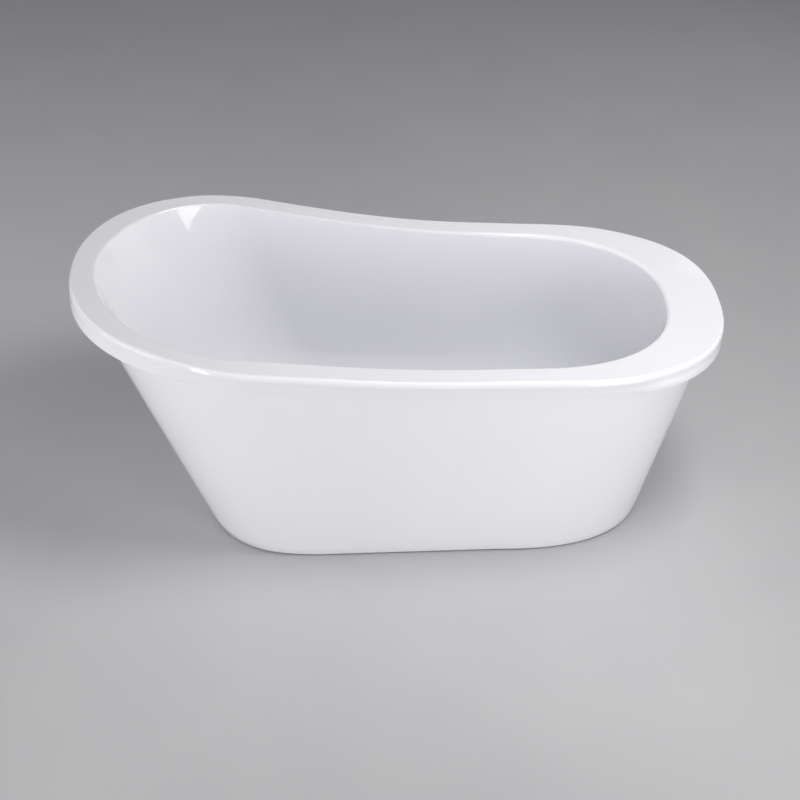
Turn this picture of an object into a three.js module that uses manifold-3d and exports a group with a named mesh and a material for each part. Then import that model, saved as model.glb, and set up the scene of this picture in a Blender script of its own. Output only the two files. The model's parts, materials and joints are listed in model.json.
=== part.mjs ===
// A freestanding slipper bathtub: a double-walled acrylic tub with a raised head end and a level
// tap deck at the foot end, standing on a steel frame with screw feet that the skirt hides.
// Millimetres, +Z up. +X points to the foot (tap) end, -X to the raised head end.
// The origin is on the floor, under the middle of the length and width.
import * as THREE from "three";
import { mergeVertices } from "three/addons/utils/BufferGeometryUtils.js";
import Module from "manifold-3d";

const wasm = await Module();
wasm.setup();

// ---- driving dimensions ----

const halfLength = 850;
const wall = 5; // acrylic with its fibreglass backing
const gap = 0.3; // between pieces that touch

// Each oval has straight sides from sideHead to sideFoot, and a rounded end beyond each.
// roundHead and roundFoot are superellipse exponents: 2 is an ellipse, more is squarer.
const rimOval = {
  head: -halfLength,
  foot: halfLength,
  sideHead: -386,
  sideFoot: 365,
  halfWidthHead: 394,
  halfWidthFoot: 354,
  roundHead: 2.15,
  roundFoot: 2.44,
  waist: 5.4,
};
const openingOval = {
  head: -794,
  foot: 711,
  sideHead: -443,
  sideFoot: 304,
  halfWidthHead: 342,
  halfWidthFoot: 302,
  roundHead: 1.91,
  roundFoot: 2.29,
  waist: 5.4,
};
// Where the basin's walls, drawn straight on, would reach the level of its floor.
const kneeOval = {
  head: -450,
  foot: 602,
  sideHead: -230,
  sideFoot: 320,
  halfWidthHead: 272,
  halfWidthFoot: 252,
  roundHead: 2.1,
  roundFoot: 2.3,
  waist: 0,
};
const floorOval = {
  head: -290,
  foot: 520,
  sideHead: -120,
  sideFoot: 300,
  halfWidthHead: 188,
  halfWidthFoot: 176,
  roundHead: 2.1,
  roundFoot: 2.2,
  waist: 0,
};
const baseOval = {
  head: -520,
  foot: 707,
  sideHead: -202,
  sideFoot: 269,
  halfWidthHead: 336,
  halfWidthFoot: 318,
  roundHead: 2.73,
  roundFoot: 2.54,
  waist: 0,
};

const rim = {
  footHeight: 620,
  rise: 80, // the head stands this much higher, rising from riseFoot to riseHead
  riseHead: -811,
  riseFoot: 174,
  lip: 55,
  edgeRadius: 10,
  rollRadius: 12,
};
const ledge = { side: 6, head: 58, foot: 50 }; // how far the skirt stands back behind the lip's face
const skirtBottom = 3;
const skirtUpstand = 25;
const basinFloor = 150;
const floorFall = 0.01; // rise of the floor per millimetre away from the waste
const floorUnderside = 140;

const waste = { x: 430, recessRadius: 44, recessDepth: 5, holeRadius: 26 };
const tail = { radius: 23.5, bore: 20.5, bottom: 80, flangeRadius: 35 };
const plug = { radius: 31, stemRadius: 3.1 };
const portHeight = 107; // where the overflow's water joins the waste
const overflow = {
  height: 500,
  seatRadius: 40,
  holeRadius: 25,
  radius: 23.5,
  bore: 20,
  plateRadius: 35,
  chamberRadius: 26,
  chamberMiddle: -26, // behind the wall's face
  chamberBack: -40,
};
const pipe = { radius: 14, bore: 11.5, socket: 17.5, nutRadius: 20 };

const boardThick = 18;
const board = { head: -280, foot: 510, halfWidth: 160, hole: 55, slot: 30 };
const frameTube = 30;
const tubeWall = 2;
const railY = 110;
const rails = { head: -270, foot: 320 };
const crossbars = { head: -240, middle: 15, foot: 270, half: 288, middleHalf: 150 };
const footY = 232;
const rod = { radius: 6, bottom: 8.3, top: 118 };
const nut = { acrossFlats: 19, thick: 10, bore: 6.4 };

const arcSteps = 22; // per rounded end
const sideSteps = 10; // per long side

// ---- ovals, heights and walls ----

function ovalPoints(oval) {
  const points = [];
  const bow = (share) => -oval.waist * 4 * share * (1 - share);
  const end = (centreX, reach, halfWidth, exponent) => {
    for (let i = 0; i < arcSteps; i++) {
      const angle = (i / arcSteps - 0.5) * Math.PI;
      const across = Math.sin(angle);
      const x = centreX + reach * Math.cos(angle) ** (2 / exponent);
      const y = halfWidth * Math.sign(across) * Math.abs(across) ** (2 / exponent);
      points.push(new THREE.Vector2(x, reach > 0 ? y : -y));
    }
  };
  const side = (fromX, toX, fromHalf, toHalf, sign) => {
    for (let i = 0; i < sideSteps; i++) {
      const share = i / sideSteps;
      const half = fromHalf + (toHalf - fromHalf) * share + bow(share);
      points.push(new THREE.Vector2(fromX + (toX - fromX) * share, sign * half));
    }
  };
  end(oval.sideFoot, oval.foot - oval.sideFoot, oval.halfWidthFoot, oval.roundFoot);
  side(oval.sideFoot, oval.sideHead, oval.halfWidthFoot, oval.halfWidthHead, 1);
  end(oval.sideHead, oval.head - oval.sideHead, oval.halfWidthHead, oval.roundHead);
  side(oval.sideHead, oval.sideFoot, oval.halfWidthHead, oval.halfWidthFoot, -1);
  return points;
}

function outwardNormals(points) {
  return points.map((point, i) => {
    const after = points[(i + 1) % points.length];
    const before = points[(i + points.length - 1) % points.length];
    return new THREE.Vector2(after.y - before.y, before.x - after.x).normalize();
  });
}

function rimHeight(x) {
  const share = THREE.MathUtils.clamp((x - rim.riseHead) / (rim.riseFoot - rim.riseHead), 0, 1);
  return rim.footHeight + rim.rise * (0.5 + 0.5 * Math.cos(Math.PI * share));
}

const rimLine = ovalPoints(rimOval);
const rimNormals = outwardNormals(rimLine);
const openingLine = ovalPoints(openingOval);
const kneeLine = ovalPoints(kneeOval);
const floorLine = ovalPoints(floorOval);
const baseLine = ovalPoints(baseOval);
const baseNormals = outwardNormals(baseLine);

const insetRing = (line, normals, inset, height) =>
  line.map((point, i) => {
    const by = typeof inset === "function" ? inset(i) : inset;
    return new THREE.Vector3(point.x - normals[i].x * by, point.y - normals[i].y * by, height(point, i));
  });

const rimRing = (inset, below) =>
  insetRing(rimLine, rimNormals, inset, (point) => rimHeight(point.x) - below);

// The basin's wall at one station: out of the rim's roll, straight down, then round into the floor.
// Positions are a distance inwards from the opening, and a height. depth is how far behind the
// visible face the point lies.
function wallStation(i) {
  const opening = openingLine[i];
  const inwards = kneeLine[i].clone().sub(opening);
  const reach = inwards.length();
  inwards.divideScalar(reach);
  const top = rimHeight(opening.x);
  const lean = Math.atan2(reach, top - basinFloor);
  const rollEnd = Math.PI / 2 - lean;
  const at = (along, height) =>
    new THREE.Vector3(opening.x + inwards.x * along, opening.y + inwards.y * along, height);
  const roll = (share, depth) => {
    const angle = rollEnd * share;
    const radius = rim.rollRadius - depth;
    return at(radius * Math.sin(angle), top - rim.rollRadius + radius * Math.cos(angle));
  };
  const start = new THREE.Vector2(
    rim.rollRadius * Math.sin(rollEnd),
    top - rim.rollRadius + rim.rollRadius * Math.cos(rollEnd),
  );
  const knee = new THREE.Vector2(reach, basinFloor);
  const straightEnd = start.clone().lerp(knee, 0.6);
  const inset = floorLine[i].distanceTo(kneeLine[i]);
  const flatStart = new THREE.Vector2(reach + inset, floorHeight(floorLine[i]));
  const bend = new THREE.QuadraticBezierCurve(straightEnd, knee, flatStart);
  const floorwards = floorLine[i].clone().sub(kneeLine[i]).normalize();
  const curve = (share, depth) => {
    const point = bend.getPoint(share);
    const along = bend.getTangent(share);
    const back = point.add(new THREE.Vector2(-along.y, along.x).multiplyScalar(-depth));
    if (back.x <= reach) return at(back.x, back.y);
    const beyond = back.x - reach;
    return new THREE.Vector3(
      kneeLine[i].x + floorwards.x * beyond,
      kneeLine[i].y + floorwards.y * beyond,
      back.y,
    );
  };
  // The straight part's own line, for what is fitted to the wall.
  const faceAt = (height) => {
    const share = (start.y - height) / (start.y - knee.y);
    return at(start.x + (knee.x - start.x) * share, height);
  };
  return { roll, curve, faceAt };
}

function floorHeight(point) {
  return basinFloor + floorFall * Math.abs(point.x - waste.x);
}

const stations = openingLine.map((_, i) => wallStation(i));

// ---- solids ----

// A closed skin through rings of equal length, the last ring joining the first.
function loft(rings) {
  const count = rings[0].length;
  const positions = rings.flat().flatMap((point) => [point.x, point.y, point.z]);
  const index = [];
  rings.forEach((_, r) => {
    const next = (r + 1) % rings.length;
    for (let i = 0; i < count; i++) {
      const j = (i + 1) % count;
      const [a, b, c, d] = [r * count + i, r * count + j, next * count + j, next * count + i];
      index.push(a, b, c, a, c, d);
    }
  });
  const geometry = new THREE.BufferGeometry();
  geometry.setAttribute("position", new THREE.Float32BufferAttribute(positions, 3));
  geometry.setIndex(index);
  return geometry;
}

function toSolid(geometry) {
  const bare = geometry.clone();
  bare.deleteAttribute("normal");
  bare.deleteAttribute("uv");
  const merged = mergeVertices(bare, 1e-3);
  return new wasm.Manifold(
    new wasm.Mesh({
      numProp: 3,
      vertProperties: merged.attributes.position.array,
      triVerts: new Uint32Array(merged.index.array),
    }),
  );
}

function toGeometry(solid) {
  const mesh = solid.getMesh();
  const geometry = new THREE.BufferGeometry();
  geometry.setAttribute("position", new THREE.BufferAttribute(mesh.vertProperties, 3));
  geometry.setIndex(new THREE.BufferAttribute(mesh.triVerts, 1));
  return geometry;
}

const join = (...geometries) => toGeometry(geometries.map(toSolid).reduce((all, one) => all.add(one)));
const cut = (geometry, ...tools) =>
  toGeometry(tools.map(toSolid).reduce((left, tool) => left.subtract(tool), toSolid(geometry)));

// A turned piece about Z. The profile is [radius, height] pairs, anticlockwise; when no point is on
// the axis it closes on itself.
function turned(profile, sides = 24) {
  const points = profile.map(([radius, height]) => new THREE.Vector2(radius, height));
  if (profile.every(([radius]) => radius > 0)) points.push(points[0].clone());
  return new THREE.LatheGeometry(points, sides).rotateX(Math.PI / 2);
}

function ring(innerRadius, outerRadius, bottom, top, sides) {
  const corners = [[innerRadius, bottom], [outerRadius, bottom], [outerRadius, top], [innerRadius, top]];
  return turned(corners, sides);
}

function disc(radius, bottom, top, sides) {
  return turned([[0, bottom], [radius, bottom], [radius, top], [0, top]], sides);
}

function block(from, to) {
  const size = to.map((value, k) => value - from[k]);
  return new THREE.BoxGeometry(...size).translate(...from.map((value, k) => value + size[k] / 2));
}

// A square tube along X, from -length/2 to length/2.
function squareTube(length) {
  const outer = frameTube / 2;
  const inner = outer - tubeWall;
  const corners = [[-1, -1], [1, -1], [1, 1], [-1, 1]];
  const square = (half) => corners.map(([x, y]) => new THREE.Vector2(x * half, y * half));
  const shape = new THREE.Shape(square(outer));
  shape.holes.push(new THREE.Path(square(inner)));
  const geometry = new THREE.ExtrudeGeometry(shape, { depth: length, bevelEnabled: false });
  return geometry.translate(0, 0, -length / 2).rotateY(Math.PI / 2);
}

function hexNut(bore, acrossFlats, bottom, top, segments = 6) {
  const shape = new THREE.Shape();
  const corner = acrossFlats / Math.sqrt(3);
  for (let i = 0; i < 6; i++) {
    const angle = (i * Math.PI) / 3;
    shape[i ? "lineTo" : "moveTo"](corner * Math.cos(angle), corner * Math.sin(angle));
  }
  shape.closePath();
  const hole = new THREE.Path();
  hole.absarc(0, 0, bore, 0, 2 * Math.PI, true);
  shape.holes.push(hole);
  const options = { depth: top - bottom, bevelEnabled: false, curveSegments: segments };
  return new THREE.ExtrudeGeometry(shape, options).translate(0, 0, bottom);
}

// Turns a closed skin's faces outwards if its volume comes out negative.
function flipOut(geometry) {
  const flat = geometry.index ? geometry.toNonIndexed() : geometry;
  const position = flat.attributes.position;
  const [a, b, c] = [new THREE.Vector3(), new THREE.Vector3(), new THREE.Vector3()];
  let volume = 0;
  for (let i = 0; i < position.count; i += 3) {
    a.fromBufferAttribute(position, i);
    b.fromBufferAttribute(position, i + 1);
    c.fromBufferAttribute(position, i + 2);
    volume += a.dot(b.cross(c));
  }
  if (volume > 0) return geometry;
  const index = geometry.index.array;
  for (let i = 0; i < index.length; i += 3) [index[i + 1], index[i + 2]] = [index[i + 2], index[i + 1]];
  return geometry;
}

// ---- materials ----

const finish = (color, roughness, metalness = 0) =>
  new THREE.MeshStandardMaterial({ color, roughness, metalness });
const acrylic = finish(0xf3f3f5, 0.12);
const adhesive = finish(0xe6e2d6, 0.6);
const plywood = finish(0xb98f5e, 0.75);
const steel = finish(0xa9adb1, 0.45, 0.9);
const zinc = finish(0xc3c7ca, 0.35, 1);
const chrome = finish(0xdfe3e6, 0.08, 1);
const blackPlastic = finish(0x26282a, 0.5);
const whitePlastic = finish(0xe9e9e6, 0.4);
const rubber = finish(0x1b1b1c, 0.8);

const bathtub = new THREE.Group();
bathtub.name = "bathtub";

function add(name, geometry, material, parent = bathtub) {
  const mesh = new THREE.Mesh(geometry, material);
  mesh.name = name;
  parent.add(mesh);
  return mesh;
}

// ---- the tub's two shells ----

// The overflow's own frame, on the long side at the first station. Its Z points out of the basin's
// wall into the basin, and its X up the wall.
function overflowFrame() {
  const place = stations[0].faceAt(overflow.height);
  const up = stations[0].faceAt(overflow.height + 1).sub(place).normalize();
  const before = stations[stations.length - 1].faceAt(overflow.height);
  const out = up.clone().cross(place.clone().sub(before)).normalize();
  if (out.y < 0) out.negate();
  return new THREE.Matrix4().makeBasis(up, out.clone().cross(up), out).setPosition(place);
}

const overflowMatrix = overflowFrame();
const inOverflowFrame = (geometry) => geometry.applyMatrix4(overflowMatrix);

function wasteCircle(radius, height) {
  return floorLine.map((point) => {
    const angle = Math.atan2(point.y, point.x - waste.x);
    return new THREE.Vector3(waste.x + radius * Math.cos(angle), radius * Math.sin(angle), height);
  });
}

function basinShell() {
  const edge = (share, radius) => {
    const angle = (share * Math.PI) / 2;
    return rimRing(rim.edgeRadius - radius * Math.cos(angle), rim.edgeRadius - radius * Math.sin(angle));
  };
  const flat = (line, below) =>
    line.map((point) => new THREE.Vector3(point.x, point.y, rimHeight(point.x) - below));
  const roll = (share, depth) => stations.map((station) => station.roll(share, depth));
  const curve = (share, depth) => stations.map((station) => station.curve(share, depth));
  const floorEdge = (height) => floorLine.map((point) => new THREE.Vector3(point.x, point.y, height(point)));
  const recess = basinFloor - waste.recessDepth;
  const bends = [0, 1, 2, 3, 4, 5].map((step) => step / 6);
  const shell = loft([
    rimRing(0, rim.lip),
    ...[0, 1 / 3, 2 / 3, 1].map((share) => edge(share, rim.edgeRadius)),
    flat(openingLine, 0),
    ...[1 / 3, 2 / 3, 1].map((share) => roll(share, 0)),
    ...bends.map((share) => curve(share, 0)),
    floorEdge(floorHeight),
    wasteCircle(waste.recessRadius, basinFloor),
    wasteCircle(waste.recessRadius - 2, recess),
    wasteCircle(waste.holeRadius, recess),
    wasteCircle(waste.holeRadius, floorUnderside),
    floorEdge(() => floorUnderside),
    ...[...bends].reverse().map((share) => curve(share, wall)),
    ...[1, 2 / 3, 1 / 3].map((share) => roll(share, wall)),
    flat(openingLine, wall),
    rimRing(rim.edgeRadius, wall),
    rimRing(wall, rim.edgeRadius),
    rimRing(wall, rim.lip),
  ]);
  const seat = inOverflowFrame(disc(overflow.seatRadius, -wall, 0, 40));
  const faced = inOverflowFrame(disc(overflow.seatRadius, 0, 25, 40));
  const hole = inOverflowFrame(disc(overflow.holeRadius, -20, 20, 32));
  return cut(join(flipOut(shell), seat), faced, hole);
}

function ledgeAt(i) {
  const along = rimNormals[i].x;
  return ledge.side + along * along * ((along < 0 ? ledge.head : ledge.foot) - ledge.side);
}

// The skirt: an upstand tucked behind the lip, a flange under the rim's overhang, and a wall that
// runs straight from there to the base.
function skirtShell() {
  const behindLip = wall + 0.5;
  const joint = 0.5;
  const levels = [0.2, 0.4, 0.6, 0.8, 1];
  const skirtTop = insetRing(rimLine, rimNormals, ledgeAt, (point) => rimHeight(point.x) - rim.lip - joint);
  const innerTop = insetRing(
    rimLine,
    rimNormals,
    (i) => ledgeAt(i) + wall,
    (point) => rimHeight(point.x) - rim.lip + wall - joint,
  );
  const base = (inset) => insetRing(baseLine, baseNormals, inset, () => skirtBottom);
  const between = (upper, lower, share) => upper.map((point, i) => point.clone().lerp(lower[i], share));
  const lipLevel = rim.lip + joint;
  return loft([
    rimRing(behindLip, rim.lip - skirtUpstand),
    rimRing(behindLip, lipLevel),
    skirtTop,
    ...levels.map((share) => between(skirtTop, base(0), share)),
    ...[...levels].reverse().map((share) => between(innerTop, base(wall), share)),
    innerTop,
    rimRing(behindLip + wall, lipLevel - wall),
    rimRing(behindLip + wall, rim.lip - skirtUpstand),
  ]);
}

// The bead of structural adhesive that holds the skirt's upstand up against the rim's underside.
function bondBead() {
  const low = rim.lip - skirtUpstand - gap;
  const outer = wall + 1;
  const inner = outer + 7;
  return loft([
    rimRing(outer, low),
    rimRing(outer, rim.edgeRadius + gap),
    rimRing(rim.edgeRadius + gap, wall + gap),
    rimRing(inner, wall + gap),
    rimRing(inner, low),
  ]);
}

add("basin_shell", flipOut(basinShell()), acrylic);
add("skirt_shell", flipOut(skirtShell()), acrylic);
add("rim_bond_bead", flipOut(bondBead()), adhesive);

// ---- boards laminated under the shell ----

function prism(line, bottom, top) {
  const shape = new THREE.Shape(line);
  const options = { depth: top - bottom, bevelEnabled: false };
  return new THREE.ExtrudeGeometry(shape, options).translate(0, 0, bottom);
}

const boardTop = floorUnderside - gap;
const boardBottom = boardTop - boardThick;

// Where the overflow's pipe, coming straight down behind the wall, reaches the height of the port.
const pipeCorner = overflowPoint(0, 0, overflow.chamberMiddle);
const pipeDown = overflowPoint(-1, 0, overflow.chamberMiddle).sub(pipeCorner);
pipeCorner.addScaledVector(pipeDown, (portHeight - pipeCorner.z) / pipeDown.z);
const portTurn = Math.atan2(pipeCorner.y, pipeCorner.x - waste.x);
const towardsPipe = (geometry) => geometry.rotateZ(portTurn).translate(waste.x, 0, 0);

function overflowPoint(x, y, z) {
  return new THREE.Vector3(x, y, z).applyMatrix4(overflowMatrix);
}

// The board has a hole round the waste, and a slot that lets the overflow's pipe in.
function baseboard() {
  const sheet = block([board.head, -board.halfWidth, boardBottom], [board.foot, board.halfWidth, boardTop]);
  const hole = disc(board.hole, boardBottom - 1, boardTop + 1).translate(waste.x, 0, 0);
  const slot = towardsPipe(block([0, -board.slot, boardBottom - 1], [240, board.slot, boardTop + 1]));
  return cut(sheet, hole, slot);
}

// The crescent of board that stiffens the level deck where a tap is fitted.
function deckBoard() {
  const top = rim.footHeight - wall - gap;
  const bottom = top - boardThick;
  const outline = rimLine.map((point, i) => point.clone().addScaledVector(rimNormals[i], -30));
  const openingNormals = outwardNormals(openingLine);
  const inner = openingLine.map((point, i) => point.clone().addScaledVector(openingNormals[i], 16));
  const behind = block([-900, -500, bottom - 2], [660, 500, top + 2]);
  return cut(prism(outline, bottom, top), prism(inner, bottom - 1, top + 1), behind);
}

add("baseboard", baseboard(), plywood);
add("tap_deck_board", deckBoard(), plywood);

// ---- the frame and its feet ----

const railTop = boardBottom - gap;
const railMiddle = railTop - frameTube / 2;
const crossbarTop = railTop - frameTube - gap;
const crossbarMiddle = crossbarTop - frameTube / 2;
const crossbarBottom = crossbarTop - frameTube;

for (const [side, sign] of [["left", 1], ["right", -1]]) {
  const rail = squareTube(rails.foot - rails.head);
  rail.translate((rails.foot + rails.head) / 2, sign * railY, railMiddle);
  add(`frame_rail_${side}`, rail, steel);
}

function crossbar(x, half, footPlaces) {
  const bar = squareTube(2 * half).rotateZ(Math.PI / 2).translate(x, 0, crossbarMiddle);
  const holes = footPlaces.map((y) => {
    const hole = new THREE.CylinderGeometry(rod.radius + 0.5, rod.radius + 0.5, frameTube + 4, 16);
    return hole.rotateX(Math.PI / 2).translate(x, y, crossbarMiddle);
  });
  return cut(bar, ...holes);
}

add("crossbar_head", crossbar(crossbars.head, crossbars.half, [footY, -footY]), steel);
add("crossbar_middle", crossbar(crossbars.middle, crossbars.middleHalf, [0]), steel);
add("crossbar_foot", crossbar(crossbars.foot, crossbars.half, [footY, -footY]), steel);

// A screw foot: a pad on a threaded rod, with a lock nut below and above the crossbar.
function screwFoot(place, x, y) {
  const pad = turned([[0, 0], [24, 0], [24, 5], [11, 10], [11, 18], [6.3, 18], [6.3, 8], [0, 8]], 24);
  const shank = disc(rod.radius, rod.bottom, rod.top, 16);
  const below = crossbarBottom - gap;
  const above = crossbarTop + gap;
  const lower = hexNut(nut.bore, nut.acrossFlats, below - nut.thick, below);
  const upper = hexNut(nut.bore, nut.acrossFlats, above, above + nut.thick);
  add(`foot_pad_${place}`, pad.translate(x, y, 0), rubber);
  add(`foot_rod_${place}`, shank.translate(x, y, 0), zinc);
  add(`foot_lock_nut_${place}`, lower.translate(x, y, 0), zinc);
  add(`foot_top_nut_${place}`, upper.translate(x, y, 0), zinc);
}

screwFoot("head_left", crossbars.head, footY);
screwFoot("head_right", crossbars.head, -footY);
screwFoot("foot_left", crossbars.foot, footY);
screwFoot("foot_right", crossbars.foot, -footY);
screwFoot("middle", crossbars.middle, 0);

// ---- what holds the skirt to the frame ----

// The skirt thickened outwards, and a little inwards, to trim whatever is bonded inside it.
function skirtTrim() {
  const base = (inset) => insetRing(baseLine, baseNormals, inset, () => skirtBottom);
  const top = (inset) =>
    insetRing(rimLine, rimNormals, (i) => ledgeAt(i) + inset, (point) => rimHeight(point.x) - rim.lip);
  return flipOut(loft([base(wall + 1.2), base(-30), top(-30), top(wall + 1.2)]));
}

const legThick = 3;
const batten = { from: crossbars.half + legThick + 6, half: 40, bottom: 40, top: 112 };

function skirtBatten(x, sign) {
  const ends = [sign * batten.from, sign * (batten.from + 26)].sort((a, b) => a - b);
  const wood = block([x - batten.half, ends[0], batten.bottom], [x + batten.half, ends[1], batten.top]);
  return cut(wood, skirtTrim());
}

// An angle bracket: one leg lies on the crossbar and the other stands against the batten.
function angleBracket(x, sign) {
  const shape = new THREE.Shape();
  const outside = batten.from - gap;
  const bottom = crossbarTop + gap;
  shape.setFromPoints([
    new THREE.Vector2(250, bottom),
    new THREE.Vector2(outside - legThick, bottom),
    new THREE.Vector2(outside - legThick, bottom - 44),
    new THREE.Vector2(outside, bottom - 44),
    new THREE.Vector2(outside, bottom + legThick),
    new THREE.Vector2(250, bottom + legThick),
  ]);
  const leg = new THREE.ExtrudeGeometry(shape, { depth: 30, bevelEnabled: false }).translate(0, 0, -15);
  return leg.rotateX(Math.PI / 2).rotateZ((sign * Math.PI) / 2).translate(x, 0, 0);
}

for (const [end, x] of [["head", crossbars.head], ["foot", crossbars.foot]]) {
  for (const [side, sign] of [["left", 1], ["right", -1]]) {
    add(`skirt_batten_${end}_${side}`, skirtBatten(x, sign), plywood);
    add(`skirt_bracket_${end}_${side}`, angleBracket(x, sign), zinc);
  }
}

// ---- the waste ----

const recessTop = basinFloor - waste.recessDepth;
const flangeBottom = recessTop + gap + 1.5 + gap;
const flangeTop = flangeBottom + 2.5;
const bodyTop = floorUnderside - gap - 3 - gap;
const bodyBottom = 87;
const atWaste = (geometry) => geometry.translate(waste.x, 0, 0);

// The chrome flange and the threaded tail under it, slotted for the overflow's water, with a bridge
// across the bore that carries the plug's cartridge.
function wasteTail() {
  const tube = turned([
    [tail.bore, tail.bottom],
    [tail.radius, tail.bottom],
    [tail.radius, flangeBottom],
    [tail.flangeRadius, flangeBottom],
    [tail.flangeRadius, flangeTop - 1],
    [tail.flangeRadius - 1, flangeTop],
    [tail.bore + 3, flangeTop],
    [tail.bore, flangeBottom],
  ], 40);
  const bridge = [block([-tail.bore - 1, -2, 90], [tail.bore + 1, 2, 98]), disc(9, 90, 98, 24)];
  const slots = [0, 1, 2, 3].map((quarter) => {
    const slot = block([15, -6, 108], [30, 6, 124]);
    return slot.rotateZ((quarter * Math.PI) / 2).translate(0, 0, -6);
  });
  return cut(join(tube, ...bridge), ...slots, disc(6.3, 85, 110, 16));
}

// The ring-shaped body round the tail. Its port, which faces +X here, takes the overflow's pipe.
function wasteBody() {
  const bore = tail.radius + gap;
  const shell = turned([
    [bore, bodyBottom],
    [31, bodyBottom],
    [31, bodyTop - 3],
    [34, bodyTop - 3],
    [34, bodyTop],
    [bore, bodyTop],
    [bore, bodyTop - 3],
    [27.5, bodyTop - 3],
    [27.5, bodyBottom + 3],
    [bore, bodyBottom + 3],
  ], 32);
  const alongX = (geometry) => geometry.rotateY(Math.PI / 2).translate(0, 0, portHeight);
  const port = alongX(ring(pipe.radius + gap, pipe.socket, 25, 55, 24));
  const way = alongX(disc(pipe.radius + gap, 25.5, 60, 24));
  const inside = disc(27.5, bodyBottom + 3, bodyTop - 3, 32);
  return cut(join(shell, cut(port, inside)), way);
}

add("waste_flange_tail", atWaste(wasteTail()), chrome);
add("waste_upper_gasket", atWaste(ring(25, 34, recessTop + gap, recessTop + gap + 1.5, 32)), rubber);
add("waste_lower_gasket", atWaste(ring(24, 33, floorUnderside - gap - 3, floorUnderside - gap, 32)), rubber);
add("waste_body", towardsPipe(wasteBody()), blackPlastic);
const backnut = hexNut(tail.radius + 0.5, 58, bodyBottom - gap - 8, bodyBottom - gap, 16);
add("waste_backnut", atWaste(backnut), blackPlastic);
add("waste_cartridge", atWaste(ring(plug.stemRadius + gap, 6, 88, 132, 16)), chrome);

const capBottom = flangeTop + gap;
const cap = turned([
  [0, capBottom],
  [plug.radius - 1, capBottom],
  [plug.radius, capBottom + 1],
  [plug.radius, capBottom + 2],
  [plug.radius - 3, capBottom + 4],
  [0, capBottom + 5],
], 40);
const stem = turned([
  [0, 94],
  [plug.stemRadius, 94],
  [plug.stemRadius, 136],
  [15, 140],
  [15, capBottom - gap],
  [0, capBottom - gap],
], 24);
add("plug_cap", atWaste(cap), chrome);
add("plug_stem", atWaste(stem), chrome);
add("plug_seal", atWaste(ring(15 + gap, tail.bore - gap, 141, 145, 32)), rubber);

// ---- the overflow ----

// A cup-shaped cover, open at its lower edge where the water goes in.
function overflowCover() {
  const front = 14;
  const cup = turned([
    [0, front - 3],
    [overflow.plateRadius - 3, front - 3],
    [overflow.plateRadius - 3, 7],
    [overflow.plateRadius, 7],
    [overflow.plateRadius, front - 1],
    [overflow.plateRadius - 1, front],
    [0, front],
  ], 40);
  const mouth = block([-40, -18, 2], [-24, 18, front - 3]);
  return cut(cup, mouth);
}

// The threaded tube through the wall, its rear flange, and a closed chamber with a socket pointing down.
function overflowBody() {
  const tube = turned([
    [0, overflow.chamberBack],
    [overflow.chamberRadius, overflow.chamberBack],
    [overflow.chamberRadius, -11.5],
    [34, -11.5],
    [34, -8.5],
    [overflow.radius, -8.5],
    [overflow.radius, 8],
    [overflow.bore, 8],
    [overflow.bore, overflow.chamberBack + 3],
    [0, overflow.chamberBack + 3],
  ], 32);
  const alongDown = (geometry) => geometry.rotateY(-Math.PI / 2).translate(0, 0, overflow.chamberMiddle);
  const inside = disc(overflow.bore, overflow.chamberBack + 3, 0, 32);
  const neck = cut(alongDown(disc(12, 18, 40, 24)), inside);
  const socket = alongDown(disc(pipe.socket, 30, 58, 24));
  const way = alongDown(disc(pipe.radius + gap, 36, 60, 24));
  const bore = alongDown(disc(9.5, 15, 40, 24));
  return cut(join(tube, neck, socket), way, bore);
}

// A slip nut round a socket's end; its lip closes on the pipe. It is built along +Z.
function slipNut() {
  return turned([
    [pipe.socket + gap, 0],
    [pipe.nutRadius, 0],
    [pipe.nutRadius, 16],
    [pipe.radius + gap, 16],
    [pipe.radius + gap, 14],
    [pipe.socket + gap, 14],
  ], 24);
}

// The pipe down the back of the wall, then under the basin to the waste.
function overflowPipe() {
  const inwards = new THREE.Vector3(Math.cos(portTurn), Math.sin(portTurn), 0);
  const start = overflowPoint(-38, 0, overflow.chamberMiddle);
  const end = new THREE.Vector3(waste.x, 0, portHeight).addScaledVector(inwards, 36);
  const bendStart = pipeCorner.clone().addScaledVector(pipeDown, -70);
  const bendEnd = pipeCorner.clone().addScaledVector(inwards, -70);
  const run = new THREE.CurvePath();
  run.add(new THREE.LineCurve3(start, bendStart));
  run.add(new THREE.QuadraticBezierCurve3(bendStart, pipeCorner, bendEnd));
  run.add(new THREE.LineCurve3(bendEnd, end));
  const shape = new THREE.Shape();
  shape.absarc(0, 0, pipe.radius, 0, 2 * Math.PI);
  const hole = new THREE.Path();
  hole.absarc(0, 0, pipe.bore, 0, 2 * Math.PI, true);
  shape.holes.push(hole);
  return new THREE.ExtrudeGeometry(shape, { extrudePath: run, steps: 18, curveSegments: 6 });
}

const frontGasket = ring(overflow.holeRadius + 0.5, 33, gap, gap + 1.5, 32);
const frontRing = ring(overflow.radius + gap, 33, 2 * gap + 1.5, 6.5, 32);
const rearGasket = ring(overflow.radius + gap, 33, -8.5 + gap, -wall - gap, 32);
const overflowNut = slipNut().translate(0, 0, 44).rotateY(-Math.PI / 2);
overflowNut.translate(0, 0, overflow.chamberMiddle);
const wasteNut = slipNut().translate(0, 0, 41).rotateY(Math.PI / 2).translate(0, 0, portHeight);

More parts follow.
